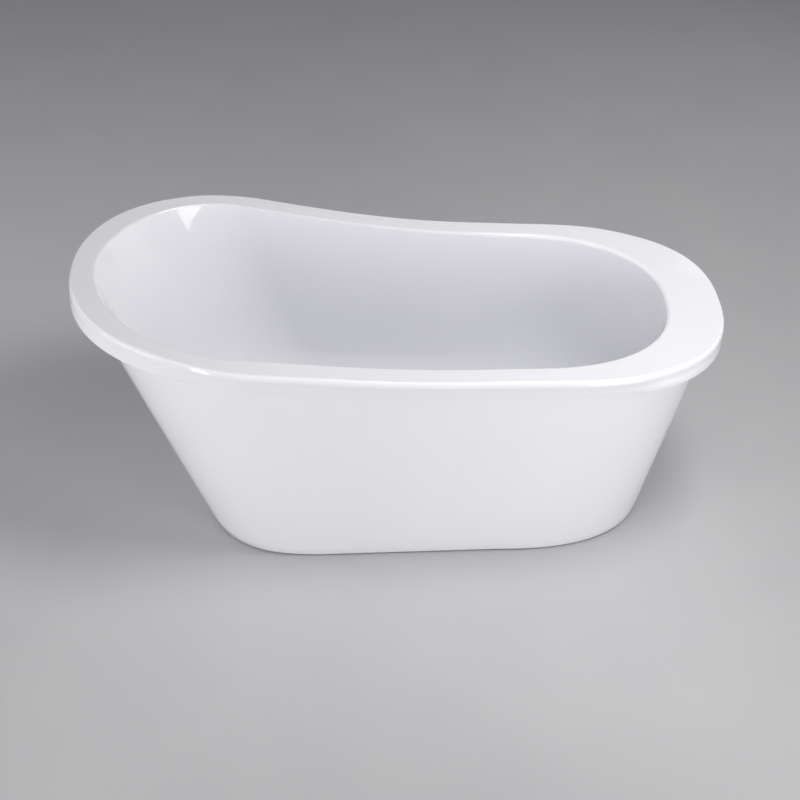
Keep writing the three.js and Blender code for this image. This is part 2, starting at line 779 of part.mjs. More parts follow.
add("overflow_cover", inOverflowFrame(overflowCover()), chrome);
add("overflow_front_gasket", inOverflowFrame(frontGasket), rubber);
add("overflow_front_ring", inOverflowFrame(frontRing), whitePlastic);
add("overflow_rear_gasket", inOverflowFrame(rearGasket), rubber);
add("overflow_body", inOverflowFrame(overflowBody()), blackPlastic);
add("overflow_pipe", overflowPipe(), whitePlastic);
add("overflow_slip_nut", inOverflowFrame(overflowNut), blackPlastic);
add("waste_slip_nut", towardsPipe(wasteNut), blackPlastic);

export default bathtub;
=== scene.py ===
import json
import math

import bmesh
import bpy
import numpy as np
from mathutils import Matrix, Vector


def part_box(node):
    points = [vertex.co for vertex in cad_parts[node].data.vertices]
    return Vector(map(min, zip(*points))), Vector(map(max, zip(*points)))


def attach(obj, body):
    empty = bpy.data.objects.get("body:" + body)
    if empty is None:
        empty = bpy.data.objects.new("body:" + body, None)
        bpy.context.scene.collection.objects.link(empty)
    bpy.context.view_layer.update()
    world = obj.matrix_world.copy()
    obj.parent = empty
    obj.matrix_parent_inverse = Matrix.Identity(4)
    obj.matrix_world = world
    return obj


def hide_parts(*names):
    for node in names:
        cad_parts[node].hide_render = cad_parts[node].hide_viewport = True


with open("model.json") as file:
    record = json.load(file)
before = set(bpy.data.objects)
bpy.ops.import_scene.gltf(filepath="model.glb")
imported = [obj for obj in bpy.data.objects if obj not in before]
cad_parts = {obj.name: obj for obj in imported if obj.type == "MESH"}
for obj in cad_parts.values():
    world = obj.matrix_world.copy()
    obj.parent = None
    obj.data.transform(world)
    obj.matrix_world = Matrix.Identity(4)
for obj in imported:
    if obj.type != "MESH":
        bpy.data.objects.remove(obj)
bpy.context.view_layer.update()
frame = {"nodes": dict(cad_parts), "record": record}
record = frame["record"]
BODY_OF = {n: b for b, ns in record["behaviour"]["bodies"].items() for n in ns}
SLOT_OF = {s["node"]: s["material_slot"] for s in record["subparts"]}
scene = bpy.context.scene
MM = 0.001

# ---------------------------------------------------------------- materials


class Shade:
    """A node material under construction, with short calls for the nodes it uses."""

    def __init__(self, name):
        self.material = bpy.data.materials.new(name)
        self.material.use_nodes = True
        self.tree = self.material.node_tree
        self.tree.nodes.clear()
        self.bsdf = self.node("ShaderNodeBsdfPrincipled")
        out = self.node("ShaderNodeOutputMaterial")
        self.join(self.bsdf, "BSDF", out, "Surface")
        self.place = self.node("ShaderNodeTexCoord")

    def node(self, kind, **values):
        made = self.tree.nodes.new(kind)
        for key, value in values.items():
            if hasattr(made, key):
                setattr(made, key, value)
            else:
                made.inputs[key.replace("_", " ")].default_value = value
        return made

    def join(self, a, out, b, into):
        self.tree.links.new(a.outputs[out], b.inputs[into])

    def set(self, **values):
        for key, value in values.items():
            self.bsdf.inputs[key.replace("_", " ")].default_value = value

    def stretched(self, x, y, z):
        mapping = self.node("ShaderNodeMapping")
        mapping.inputs["Scale"].default_value = (x, y, z)
        self.join(self.place, "Object", mapping, "Vector")
        return mapping

    def noise(self, scale, detail=3.0, rough=0.5, mapping=None):
        made = self.node("ShaderNodeTexNoise", Scale=scale, Detail=detail, Roughness=rough)
        if mapping is None:
            self.join(self.place, "Object", made, "Vector")
        else:
            self.join(mapping, "Vector", made, "Vector")
        return made

    def cells(self, scale):
        made = self.node("ShaderNodeTexVoronoi", Scale=scale, feature="F1")
        self.join(self.place, "Object", made, "Vector")
        return made

    def ramp(self, source, out, *stops):
        made = self.node("ShaderNodeValToRGB")
        self.join(source, out, made, "Fac")
        elements = made.color_ramp.elements
        while len(elements) < len(stops):
            elements.new(0.5)
        for element, (place, colour) in zip(elements, stops):
            element.position = place
            element.color = (*colour, 1)
        return made

    def bump(self, source, out, distance, strength=1.0, under=None):
        made = self.node("ShaderNodeBump", Strength=strength, Distance=distance)
        self.join(source, out, made, "Height")
        if under is not None:
            self.join(under, "Normal", made, "Normal")
        return made

    def colour(self, source, *stops, out="Fac"):
        self.join(self.ramp(source, out, *stops), "Color", self.bsdf, "Base Color")

    def roughness(self, source, low, high):
        made = self.node("ShaderNodeMapRange")
        made.inputs["To Min"].default_value = low
        made.inputs["To Max"].default_value = high
        self.join(source, "Fac", made, "Value")
        self.join(made, "Result", self.bsdf, "Roughness")

    def relief(self, bump):
        self.join(bump, "Normal", self.bsdf, "Normal")


def acrylic():
    m = Shade("white_acrylic")
    wide = m.noise(2.2, 2)
    m.colour(wide, (0.3, (0.803, 0.803, 0.832)), (0.7, (0.823, 0.823, 0.85)))
    wear = m.noise(38, 4, 0.6)
    m.roughness(wear, 0.03, 0.07)
    slow = m.bump(m.noise(5, 1), "Fac", 0.0009, 0.5)
    peel = m.bump(m.noise(260, 2), "Fac", 0.00002, 0.5, slow)
    m.relief(peel)
    m.set(IOR=1.49)
    return m.material


def glass_fibre():
    m = Shade("fibreglass_backing")
    strands = m.node("ShaderNodeTexWave", Scale=26.0, Distortion=22.0, Detail=3.0)
    m.join(m.place, "Object", strands, "Vector")
    m.colour(strands, (0.2, (0.50, 0.52, 0.42)), (0.8, (0.66, 0.67, 0.58)))
    m.roughness(m.noise(60), 0.25, 0.6)
    lumps = m.bump(m.noise(30, 4), "Fac", 0.004, 0.6)
    fibres = m.bump(strands, "Fac", 0.0006, 0.7, lumps)
    m.relief(fibres)
    return m.material


def plywood():
    m = Shade("plywood")
    along = m.stretched(1.0, 9.0, 9.0)
    grain = m.noise(14, 6, 0.65, along)
    m.colour(grain, (0.3, (0.36, 0.21, 0.10)), (0.5, (0.52, 0.34, 0.18)), (0.7, (0.63, 0.45, 0.26)))
    m.roughness(grain, 0.5, 0.8)
    m.relief(m.bump(grain, "Fac", 0.0006, 0.6))
    return m.material


def galvanised():
    m = Shade("galvanised_steel")
    spangle = m.cells(70)
    m.colour(spangle, (0.0, (0.40, 0.42, 0.44)), (1.0, (0.60, 0.62, 0.64)), out="Color")
    m.roughness(m.noise(90, 4), 0.32, 0.55)
    m.relief(m.bump(spangle, "Distance", 0.0003, 0.3))
    m.set(Metallic=0.9)
    return m.material


def zinc():
    m = Shade("zinc_plate")
    tint = m.noise(35, 3)
    m.colour(tint, (0.3, (0.55, 0.58, 0.62)), (0.7, (0.66, 0.67, 0.66)))
    m.roughness(m.noise(160, 5), 0.22, 0.42)
    m.relief(m.bump(m.noise(500, 3), "Fac", 0.00004, 0.5))
    m.set(Metallic=1.0)
    return m.material


def chrome():
    m = Shade("chrome_plate")
    m.colour(m.noise(12, 2), (0.3, (0.80, 0.82, 0.84)), (0.7, (0.86, 0.87, 0.88)))
    wiped = m.noise(120, 5, 0.7, m.stretched(1.0, 7.0, 1.0))
    m.roughness(wiped, 0.03, 0.10)
    m.relief(m.bump(wiped, "Fac", 0.000006, 0.4))
    m.set(Metallic=1.0)
    return m.material


def plastic(name, low, high):
    m = Shade(name)
    m.colour(m.noise(20, 2), (0.3, low), (0.7, high))
    spark = m.noise(900, 2)
    m.roughness(spark, 0.32, 0.5)
    m.relief(m.bump(spark, "Fac", 0.00005, 0.5))
    return m.material


def rubber():
    m = Shade("black_rubber")
    m.colour(m.noise(45, 4), (0.3, (0.012, 0.012, 0.013)), (0.8, (0.035, 0.034, 0.033)))
    fine = m.noise(420, 4)
    m.roughness(fine, 0.65, 0.9)
    m.relief(m.bump(fine, "Fac", 0.0001, 0.6))
    return m.material


def adhesive():
    m = Shade("bond_adhesive")
    lumps = m.noise(40, 4)
    m.colour(lumps, (0.3, (0.60, 0.57, 0.50)), (0.7, (0.72, 0.69, 0.62)))
    m.roughness(lumps, 0.45, 0.7)
    m.relief(m.bump(lumps, "Fac", 0.0015, 0.6))
    return m.material


ACRYLIC = acrylic()
FIBRE = glass_fibre()
MATERIAL = {
    "acrylic": ACRYLIC,
    "adhesive": adhesive(),
    "plywood": plywood(),
    "steel": galvanised(),
    "zinc": zinc(),
    "chrome": chrome(),
    "black_plastic": plastic("black_plastic", (0.015, 0.016, 0.017), (0.028, 0.029, 0.03)),
    "white_plastic": plastic("white_plastic", (0.74, 0.74, 0.72), (0.80, 0.80, 0.78)),
    "rubber": rubber(),
}

# ---------------------------------------------------------------- the tub's lines, in millimetres

RIM_OVAL = dict(head=-850, foot=850, side_head=-386, side_foot=365, half_head=394, half_foot=354,
                round_head=2.15, round_foot=2.44, waist=5.4)
OPENING_OVAL = dict(head=-794, foot=711, side_head=-443, side_foot=304, half_head=342, half_foot=302,
                    round_head=1.91, round_foot=2.29, waist=5.4)
KNEE_OVAL = dict(head=-450, foot=602, side_head=-230, side_foot=320, half_head=272, half_foot=252,
                 round_head=2.1, round_foot=2.3, waist=0)
FLOOR_OVAL = dict(head=-290, foot=520, side_head=-120, side_foot=300, half_head=188, half_foot=176,
                  round_head=2.1, round_foot=2.2, waist=0)
BASE_OVAL = dict(head=-520, foot=707, side_head=-202, side_foot=269, half_head=336, half_foot=318,
                 round_head=2.73, round_foot=2.54, waist=0)
FOOT_HEIGHT, RISE, RISE_HEAD, RISE_FOOT = 620, 80, -811, 174
LIP, ROLL, WALL = 55, 12, 5  # the lip's depth, the round into the basin, the shells' thickness
SHOULDER_WIDE, SHOULDER_DEEP = 9, 16  # the rounded edge of the rim
HOLLOW, HOLLOW_AT, BEAD_AT = 3.6, 25, 46  # the shallow hollow under it, and the bead at the lip's widest
LIP_EDGE, SEAM = 1.6, 0.25  # the round on the lip's lower edge, and its step out from the skirt
DECK_EASE = 1.2  # from the shoulder's end to the first ring of the flat deck
LEDGE_SIDE, LEDGE_HEAD, LEDGE_FOOT = 6, 58, 50  # how far the skirt stands back under the lip
SKIRT_BOTTOM, FLOOR, UNDERSIDE = 3, 150, 140
SKIRT_FILLET, SKIRT_FOOT_ROUND = 13.0, 3.0  # under the lip, and at the bottom edge
SKIRT_BOW = 1.0  # how far the skirt bows out halfway down
STRAIGHT_SHARE = 0.6  # of the basin's wall, before it rounds into the floor
FALL = 0.01  # of the floor, towards the waste
WASTE_X, RECESS, RECESS_DEPTH, WASTE_HOLE = 430, 44, 5, 26
RECESS_EDGE = 1.5  # from the recess out to where the floor starts
OVERFLOW_HEIGHT, OVERFLOW_SEAT, OVERFLOW_HOLE = 500, 40, 25
ARC, SIDE = 72, 40  # points along each rounded end and each long side
ROLL_RINGS, WALL_RINGS, KNEE_RINGS, SKIRT_RINGS = 10, 10, 26, 24


def oval(head, foot, side_head, side_foot, half_head, half_foot, round_head, round_foot, waist):
    angle = (np.arange(ARC) / ARC - 0.5) * math.pi
    share = np.arange(SIDE) / SIDE
    across = np.sin(angle)
    reach = np.cos(angle)

    def end(centre, length, half, power):
        x = centre + length * reach ** (2 / power)
        y = half * np.sign(across) * np.abs(across) ** (2 / power)
        return np.column_stack([x, y if length > 0 else -y])

    def side(x0, x1, h0, h1, sign):
        half = h0 + (h1 - h0) * share - waist * 4 * share * (1 - share)
        return np.column_stack([x0 + (x1 - x0) * share, sign * half])

    return np.vstack([
        end(side_foot, foot - side_foot, half_foot, round_foot),
        side(side_foot, side_head, half_foot, half_head, 1),
        end(side_head, head - side_head, half_head, round_head),
        side(side_head, side_foot, half_head, half_foot, -1),
    ])


def normals_of(line):
    d = np.roll(line, -1, 0) - np.roll(line, 1, 0)
    n = np.column_stack([d[:, 1], -d[:, 0]])
    return n / np.linalg.norm(n, axis=1)[:, None]


def rim_height(x):
    share = np.clip((x - RISE_HEAD) / (RISE_FOOT - RISE_HEAD), 0, 1)
    return FOOT_HEIGHT + RISE * (0.5 + 0.5 * np.cos(math.pi * share))


rim_line = oval(**RIM_OVAL)
rim_normal = normals_of(rim_line)
opening_line = oval(**OPENING_OVAL)
knee_line = oval(**KNEE_OVAL)
floor_line = oval(**FLOOR_OVAL)
base_line = oval(**BASE_OVAL)
base_normal = normals_of(base_line)
COUNT = len(rim_line)
facing = np.abs(rim_normal[:, 0])  # 0 along the sides, 1 at the two ends
flush = np.clip((0.40 - facing) / 0.22, 0, 1)
flush = flush * flush * (3 - 2 * flush)  # 1 where the lip runs smoothly into the skirt
fading = 1 - 0.7 * np.clip((facing - 0.45) / 0.35, 0, 1)  # the hollow is shallower round the two ends
hollow_in = HOLLOW * (1 - flush) * fading
ledge_end = np.where(rim_normal[:, 0] < 0, LEDGE_HEAD, LEDGE_FOOT)
ledge = LEDGE_SIDE + facing ** 2 * (ledge_end - LEDGE_SIDE)


def ring(line, normal, inset, height):
    inset = np.broadcast_to(np.asarray(inset, float), (COUNT,))
    xy = line - normal * inset[:, None]
    return np.column_stack([xy, np.broadcast_to(height, (COUNT,))])


def rim_ring(inset, below):
    return ring(rim_line, rim_normal, inset, rim_height(rim_line[:, 0]) - below)


def flat_ring(line, below):
    return np.column_stack([line, rim_height(line[:, 0]) - below])


def floor_height(line):
    return FLOOR + FALL * np.abs(line[:, 0] - WASTE_X)


# The basin's wall, at every station at once: positions are (inwards, up) from the opening.
inwards = knee_line - opening_line
reach = np.linalg.norm(inwards, axis=1)
inwards /= reach[:, None]
floorwards = floor_line - knee_line
beyond_knee = np.linalg.norm(floorwards, axis=1)
floorwards /= beyond_knee[:, None]
opening_top = rim_height(opening_line[:, 0])
roll_end = math.pi / 2 - np.arctan2(reach, opening_top - FLOOR)
straight_from = np.column_stack([
    ROLL * np.sin(roll_end), opening_top - ROLL + ROLL * np.cos(roll_end)])
knee_at = np.column_stack([reach, np.full(COUNT, float(FLOOR))])
straight_to = straight_from + (knee_at - straight_from) * STRAIGHT_SHARE
flat_from = np.column_stack([reach + beyond_knee, floor_height(floor_line)])


def wall_point(along, height):
    near = opening_line + inwards * along[:, None]
    far = knee_line + floorwards * (along - reach)[:, None]
    return np.column_stack([np.where((along <= reach)[:, None], near, far), height])


def roll_ring(share, depth=0.0):
    angle = roll_end * share
    radius = ROLL - depth
    return wall_point(radius * np.sin(angle), opening_top - ROLL + radius * np.cos(angle))


def wall_ring(share, depth=0.0):
    """share 0 to 1 runs down the straight wall, and 1 to 2 round into the floor."""
    if share <= 1:
        p = straight_from + (straight_to - straight_from) * share
        d = straight_to - straight_from
    else:
        t = share - 1
        p = (1 - t) ** 2 * straight_to + 2 * t * (1 - t) * knee_at + t * t * flat_from
        d = 2 * (1 - t) * (knee_at - straight_to) + 2 * t * (flat_from - knee_at)
    d = d / np.linalg.norm(d, axis=1)[:, None]
    p = p - np.column_stack([-d[:, 1], d[:, 0]]) * depth
    return wall_point(p[:, 0], p[:, 1])


def waste_ring(radius, height):
    angle = np.arctan2(floor_line[:, 1], floor_line[:, 0] - WASTE_X)
    x = WASTE_X + radius * np.cos(angle)
    return np.column_stack([x, radius * np.sin(angle), np.full(COUNT, float(height))])


def floor_ring(share):
    """From the edge of the basin's floor at 0 to the edge of the waste's recess at 1."""
    start = np.column_stack([floor_line, floor_height(floor_line)])
    end = waste_ring(RECESS + RECESS_EDGE, FLOOR + 0.02)
    return start + (end - start) * share


# ---------------------------------------------------------------- mesh helpers


def made_object(name, mesh):
    obj = bpy.data.objects.new(name, mesh)
    scene.collection.objects.link(obj)
    return obj


def lofted(name, rings, materials, index_of):
    """A closed skin through rings, the last joined to the first.

    index_of(k) is the material of the band between ring k and the next.
    """
    points = np.vstack(rings) * MM
    count = len(rings[0])
    faces = []
    slots = []
    for k in range(len(rings)):
        a = k * count
        b = ((k + 1) % len(rings)) * count
        for i in range(count):
            j = (i + 1) % count
            faces.append((a + i, a + j, b + j, b + i))
            slots.append(index_of(k))
    mesh = bpy.data.meshes.new(name)
    mesh.from_pydata(points.tolist(), [], faces)
    for m in materials:
        mesh.materials.append(m)
    mesh.polygons.foreach_set("material_index", slots)
    mesh.update()
    work = bmesh.new()
    work.from_mesh(mesh)
    bmesh.ops.recalc_face_normals(work, faces=work.faces)
    work.to_mesh(mesh)
    work.free()
    mesh.shade_smooth()
    return made_object(name, mesh)


def turned(name, profile, sides=96):
    """A body turned about Z from a closed profile of (radius, height) in millimetres."""
    work = bmesh.new()
    columns = []
    for s in range(sides):
        a = 2 * math.pi * s / sides
        columns.append([
            work.verts.new((r * MM * math.cos(a), r * MM * math.sin(a), h * MM)) for r, h in profile])
    n = len(profile)
    for s in range(sides):
        left, right = columns[s], columns[(s + 1) % sides]
        for k in range(n):
            if profile[k][0] == 0 and profile[(k + 1) % n][0] == 0:
                continue
            work.faces.new((left[k], right[k], right[(k + 1) % n], left[(k + 1) % n]))
    bmesh.ops.remove_doubles(work, verts=work.verts, dist=1e-7)
    bmesh.ops.recalc_face_normals(work, faces=work.faces)
    mesh = bpy.data.meshes.new(name)
    work.to_mesh(mesh)
    work.free()
    return made_object(name, mesh)


def soften(obj, width, segments=2, angle=30):
    obj.data.shade_smooth()
    bevel = obj.modifiers.new("soft_edges", "BEVEL")
    bevel.width = width * MM
    bevel.segments = segments
    bevel.limit_method = "ANGLE"
    bevel.angle_limit = math.radians(angle)
    bevel.harden_normals = True
    bevel.use_clamp_overlap = True


def cut(obj, tool, kind, material):
    """Joins the tool to obj, or takes it away, and deletes the tool."""
    tool.data.materials.append(material)
    bpy.context.view_layer.update()
    step = obj.modifiers.new("cut", "BOOLEAN")
    step.operation = kind
    step.solver = "EXACT"
    step.object = tool
    depsgraph = bpy.context.evaluated_depsgraph_get()
    done = bpy.data.meshes.new_from_object(obj.evaluated_get(depsgraph))
    obj.modifiers.clear()
    obj.data = done
    bpy.data.objects.remove(tool)


def stands_for(obj, node):
    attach(obj, BODY_OF[node])
    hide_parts(node)
    if not obj.data.materials:
        obj.data.materials.append(MATERIAL[SLOT_OF[node]])
    return obj


def refined(node, width=0.6, segments=2):
    """The node's own shape as a clean mesh with softened edges."""
    mesh = frame["nodes"][node].data.copy()
    mesh.materials.clear()
    work = bmesh.new()
    work.from_mesh(mesh)
    bmesh.ops.remove_doubles(work, verts=work.verts, dist=2e-6)
    bmesh.ops.dissolve_limit(
        work, angle_limit=math.radians(0.6), verts=work.verts, edges=work.edges)
    bmesh.ops.recalc_face_normals(work, faces=work.faces)
    work.to_mesh(mesh)
    work.free()
    if mesh.has_custom_normals:
        mesh.attributes.remove(mesh.attributes["custom_normal"])
    obj = made_object(node + "_finished", mesh)
    soften(obj, width, segments)
    return stands_for(obj, node)


# ---------------------------------------------------------------- the two shells


def lip_inset(below, lip_in):
    """How far in from its widest the lip's outside is, this far below the rim.

    Under the rounded shoulder, the corners and ends have a shallow hollow and a bead, and the long
    sides run on into the skirt.
    """
    if below < SHOULDER_DEEP:
        rise = 1 - below / SHOULDER_DEEP
        return hollow_in + SHOULDER_WIDE * (1 - math.sqrt(1 - rise * rise))
    share = min(1, max(0, (below - HOLLOW_AT) / (BEAD_AT - HOLLOW_AT)))
    at_end = hollow_in * (0.5 + 0.5 * math.cos(math.pi * share))
    share = min(1, (below - SHOULDER_DEEP) / (LIP - SHOULDER_DEEP))
    bend = 0.9 * math.sin(math.pi * min(1, share * 1.4)) ** 2
    at_side = hollow_in + (lip_in - hollow_in) * share + bend
    return at_end + (at_side - at_end) * flush


def basin():
    lip_in = flush * (ledge - SEAM)
    corner = LIP_EDGE * (1 - flush) + SEAM
    rings = [
        rim_ring(np.maximum(WALL, lip_in + 2), LIP),
        rim_ring(lip_in + corner, LIP),
        rim_ring(lip_in + corner * 0.3, LIP - corner * 0.3),
        rim_ring(lip_in, LIP - corner),
    ]
    for below in range(52, SHOULDER_DEEP, -2):
        rings.append(rim_ring(lip_inset(below, lip_in), below))
    for step in range(17):
        angle = step / 16 * math.pi / 2
        below = SHOULDER_DEEP * (1 - math.sin(angle))
        rings.append(rim_ring(hollow_in + SHOULDER_WIDE * (1 - math.cos(angle)), below))
    deck_in = hollow_in + SHOULDER_WIDE + DECK_EASE
    rings.append(rim_ring(deck_in, 0))
    deck_from = rim_line - rim_normal * deck_in[:, None]
    for share in (0.25, 0.5, 0.75, 0.97):
        rings.append(flat_ring(deck_from + (opening_line - deck_from) * share, 0))
    rings.append(flat_ring(opening_line, 0))
    rings += [roll_ring(k / ROLL_RINGS) for k in range(1, ROLL_RINGS + 1)]
    rings += [wall_ring(k / WALL_RINGS) for k in range(1, WALL_RINGS + 1)]
    rings += [wall_ring(1 + k / KNEE_RINGS) for k in range(1, KNEE_RINGS + 1)]
    rings += [floor_ring(share) for share in (0.3, 0.6, 0.85, 1)]
    seat = FLOOR - RECESS_DEPTH
    rings += [
        waste_ring(RECESS, FLOOR - 0.4),
        waste_ring(RECESS - 1.6, seat + 1.4),
        waste_ring(RECESS - 2.6, seat + 0.3),
        waste_ring(RECESS - 4, seat),
        waste_ring(WASTE_HOLE + 0.6, seat),
        waste_ring(WASTE_HOLE, seat - 0.6),
    ]
    front = len(rings)
    rings += [
        waste_ring(WASTE_HOLE, UNDERSIDE),
        np.column_stack([floor_line, np.full(COUNT, float(UNDERSIDE))]),
    ]
    rings += [wall_ring(1 + k / KNEE_RINGS, WALL) for k in range(KNEE_RINGS - 3, 0, -1)]
    rings += [wall_ring(k / WALL_RINGS, WALL) for k in range(WALL_RINGS, -1, -1)]
    rings += [
        roll_ring(0.5, WALL),
        flat_ring(opening_line, WALL),
        rim_ring(HOLLOW + SHOULDER_WIDE, WALL),
        rim_ring(WALL, SHOULDER_DEEP),
    ]
    obj = lofted("basin_finished", rings, [ACRYLIC, FIBRE], lambda k: 0 if k < front else 1)
    cut_overflow(obj)
    return stands_for(obj, "basin_shell")


def face_at(station, height):
    """The point of the basin's straight wall at this height."""
    top = straight_from[station, 1]
    start = straight_from[station, 0]
    along = start + (reach[station] - start) * (top - height) / (top - FLOOR)
    x, y = opening_line[station] + inwards[station] * along
    return Vector((x, y, height))


def overflow_frame():
    """Up is its X and out of the wall its Z, at the middle of the overflow on the near long side."""
    place = face_at(0, OVERFLOW_HEIGHT)
    up = (face_at(0, OVERFLOW_HEIGHT + 1) - place).normalized()
    beside = face_at(COUNT - SIDE // 10, OVERFLOW_HEIGHT)
    out = up.cross(place - beside).normalized()
    if out.y < 0:
        out.negate()
    turn = Matrix((up, out.cross(up), out)).transposed().to_4x4()
    return Matrix.Translation(place * MM) @ turn


OVERFLOW_FRAME = overflow_frame()


def cut_overflow(obj):
    """The moulded flat seat round the overflow, and the hole through it."""
    wide, bore = OVERFLOW_SEAT, OVERFLOW_HOLE
    seat = turned("seat_tool", [(0, -WALL), (wide, -WALL), (wide, 0), (0, 0)])
    face = turned("face_tool", [(0, 0), (wide, 0), (wide + 3, 25), (0, 25)])
    hole = turned("hole_tool", [(0, -20), (bore, -20), (bore, 20), (0, 20)])
    for tool, kind in ((seat, "UNION"), (face, "DIFFERENCE"), (hole, "DIFFERENCE")):
        tool.matrix_world = OVERFLOW_FRAME
        cut(obj, tool, kind, ACRYLIC)
    obj.data.set_sharp_from_angle(angle=math.radians(35))


def skirt():
    soffit = LIP_EDGE * (1 - flush) + flush * (ledge - SEAM)
    height = rim_height(rim_line[:, 0])
    base = ring(base_line, base_normal, 0, SKIRT_BOTTOM)
    top = ring(rim_line, rim_normal, ledge, height - LIP)
    down = base - top
    down /= np.linalg.norm(down, axis=1)[:, None]
    out = np.column_stack([rim_normal, np.zeros(COUNT)])
    near = np.maximum(ledge - SKIRT_FILLET, soffit + 0.02)
    start = rim_ring(near, LIP)
    end = top + down * SKIRT_FILLET
    rings = [
        rim_ring(WALL + 0.5, LIP - 25),
        rim_ring(np.maximum(WALL + 0.5, soffit + 0.01), LIP - 1),
        rim_ring(soffit, LIP + 0.05),
    ]
    for share in (0.5, 0.96):
        rings.append(rim_ring(soffit + (near - soffit) * share, LIP + 0.05))
    for k in range(9):
        t = k / 8
        rings.append((1 - t) ** 2 * start + 2 * t * (1 - t) * top + t * t * end)
    low = base - down * SKIRT_FOOT_ROUND
    for k in range(1, SKIRT_RINGS + 1):
        share = k / SKIRT_RINGS
        rings.append(end + (low - end) * share + out * (SKIRT_BOW * 4 * share * (1 - share)))
    for k in range(1, 5):
        angle = k / 4 * math.pi / 2
        inset = SKIRT_FOOT_ROUND * (1 - math.cos(angle))
        height_here = SKIRT_BOTTOM + SKIRT_FOOT_ROUND * (1 - math.sin(angle))
        rings.append(ring(base_line, base_normal, inset, height_here))
    front = len(rings)
    inner_top = ring(rim_line, rim_normal, ledge + WALL, height - LIP + WALL)
    inner_low = ring(base_line, base_normal, WALL, SKIRT_BOTTOM)
    for share in (0.0, 0.25, 0.5, 0.75, 1.0):
        rings.append(inner_low + (inner_top - inner_low) * share)
    rings.append(rim_ring(2 * WALL + 0.5, LIP - WALL))
    rings.append(rim_ring(2 * WALL + 0.5, LIP - 25))
    obj = lofted("skirt_finished", rings, [ACRYLIC, FIBRE], lambda k: 0 if k < front else 1)
    obj.data.set_sharp_from_angle(angle=math.radians(50))
    return stands_for(obj, "skirt_shell")


basin()
skirt()

# ---------------------------------------------------------------- the metal and plastic pieces


def rounded(points, radius, steps=4):
    """A profile whose corners are eased by an arc of about this radius."""
    out = []
    n = len(points)
    for i, p in enumerate(points):
        a, b, c = (np.array(points[(i + k) % n], float) for k in (-1, 0, 1))
        if b[0] == 0:
            out.append(tuple(b))
            continue
        la, lc = np.linalg.norm(a - b), np.linalg.norm(c - b)
        r = min(radius, la * 0.45, lc * 0.45)
        start, end = b + (a - b) / la * r, b + (c - b) / lc * r
        for k in range(steps + 1):
            t = k / steps
            out.append(tuple((1 - t) ** 2 * start + 2 * t * (1 - t) * b + t * t * end))
    return out


def at_waste(obj):
    obj.matrix_world = Matrix.Translation((WASTE_X * MM, 0, 0))
    return obj


def plug_cap():
    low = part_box("plug_cap")[0].z / MM
    top = [(31 * k / 12, low + 5 - 2.2 * (k / 12) ** 2.5) for k in range(12)]
    profile = [(0, low), (28.5, low), (30.6, low + 0.5), (31, low + 1.4), (30.8, low + 2.3),
               (30.2, low + 2.9)]
    profile += top[::-1][1:]
    profile[-1] = (0, low + 5)
    obj = at_waste(turned("plug_cap_finished", profile, 128))
    obj.data.shade_smooth()
    obj.data.set_sharp_from_angle(angle=math.radians(50))
    return stands_for(obj, "plug_cap")


def overflow_cover():
    front = 14
    outline = [(0, front - 3), (32, front - 3), (32, 7), (35, 7), (35, front), (0, front)]
    profile = rounded(outline, 1.6, 5)
    obj = turned("overflow_cover_finished", profile, 128)
    slot = turned("slot_tool", [(0, -18), (6, -18), (6, 18), (0, 18)], 32)
    at_edge = Matrix.Translation((-32 * MM, 0, 7.5 * MM))
    slot.matrix_world = at_edge @ Matrix.Rotation(math.pi / 2, 4, "X")
    obj.data.materials.append(MATERIAL["chrome"])
    cut(obj, slot, "DIFFERENCE", MATERIAL["chrome"])
    obj.data.shade_smooth()
    obj.data.set_sharp_from_angle(angle=math.radians(35))
    obj.matrix_world = OVERFLOW_FRAME
    return stands_for(obj, "overflow_cover")


def threaded(name, core, crest, pitch, bottom, top, sides=24, steps=6):
    """A screw thread along Z whose ends are chamfered."""
    total = int((top - bottom) / pitch * steps)
    work = bmesh.new()
    rows = []
    for r in range(total + 1):
        z = bottom + (top - bottom) * r / total
        ease = min(1, (z - bottom) / 1.5, (top - z) / 1.5)
        row = []
        for s in range(sides):
            phase = (z / pitch - s / sides) % 1
            tooth = 1 - abs(2 * phase - 1)
            radius = core + (crest - core) * min(1, tooth * 1.25)
            radius = core * 0.9 + (radius - core * 0.9) * ease
            a = 2 * math.pi * s / sides
            x, y = radius * MM * math.cos(a), radius * MM * math.sin(a)
            row.append(work.verts.new((x, y, z * MM)))
        rows.append(row)
    for low, high in zip(rows, rows[1:]):
        for s in range(sides):
            t = (s + 1) % sides
            work.faces.new((low[s], low[t], high[t], high[s]))
    work.faces.new(rows[0][::-1])
    work.faces.new(rows[-1])
    mesh = bpy.data.meshes.new(name)
    work.to_mesh(mesh)
    work.free()
    mesh.shade_smooth()
    return mesh


ROD = threaded("foot_thread", core=5.1, crest=5.95, pitch=1.75, bottom=8.3, top=118)


def foot_rod(node):
    low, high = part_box(node)
    obj = made_object(node + "_finished", ROD)
    obj.location = ((low.x + high.x) / 2, (low.y + high.y) / 2, 0)
    return stands_for(obj, node)


def foot_pad(node):
    low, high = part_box(node)
    profile = [(0, 0), (23, 0), (24, 0.8), (24, 4.6), (23, 5.6), (19, 6.4), (14, 8.4), (11.6, 11),
               (11, 14), (11, 17.2), (10.2, 18), (6.9, 18), (6.3, 17.4), (6.3, 8), (0, 8)]
    obj = turned(node + "_finished", profile, 72)
    obj.data.shade_smooth()
    obj.data.set_sharp_from_angle(angle=math.radians(50))
    obj.location = ((low.x + high.x) / 2, (low.y + high.y) / 2, 0)
    return stands_for(obj, node)


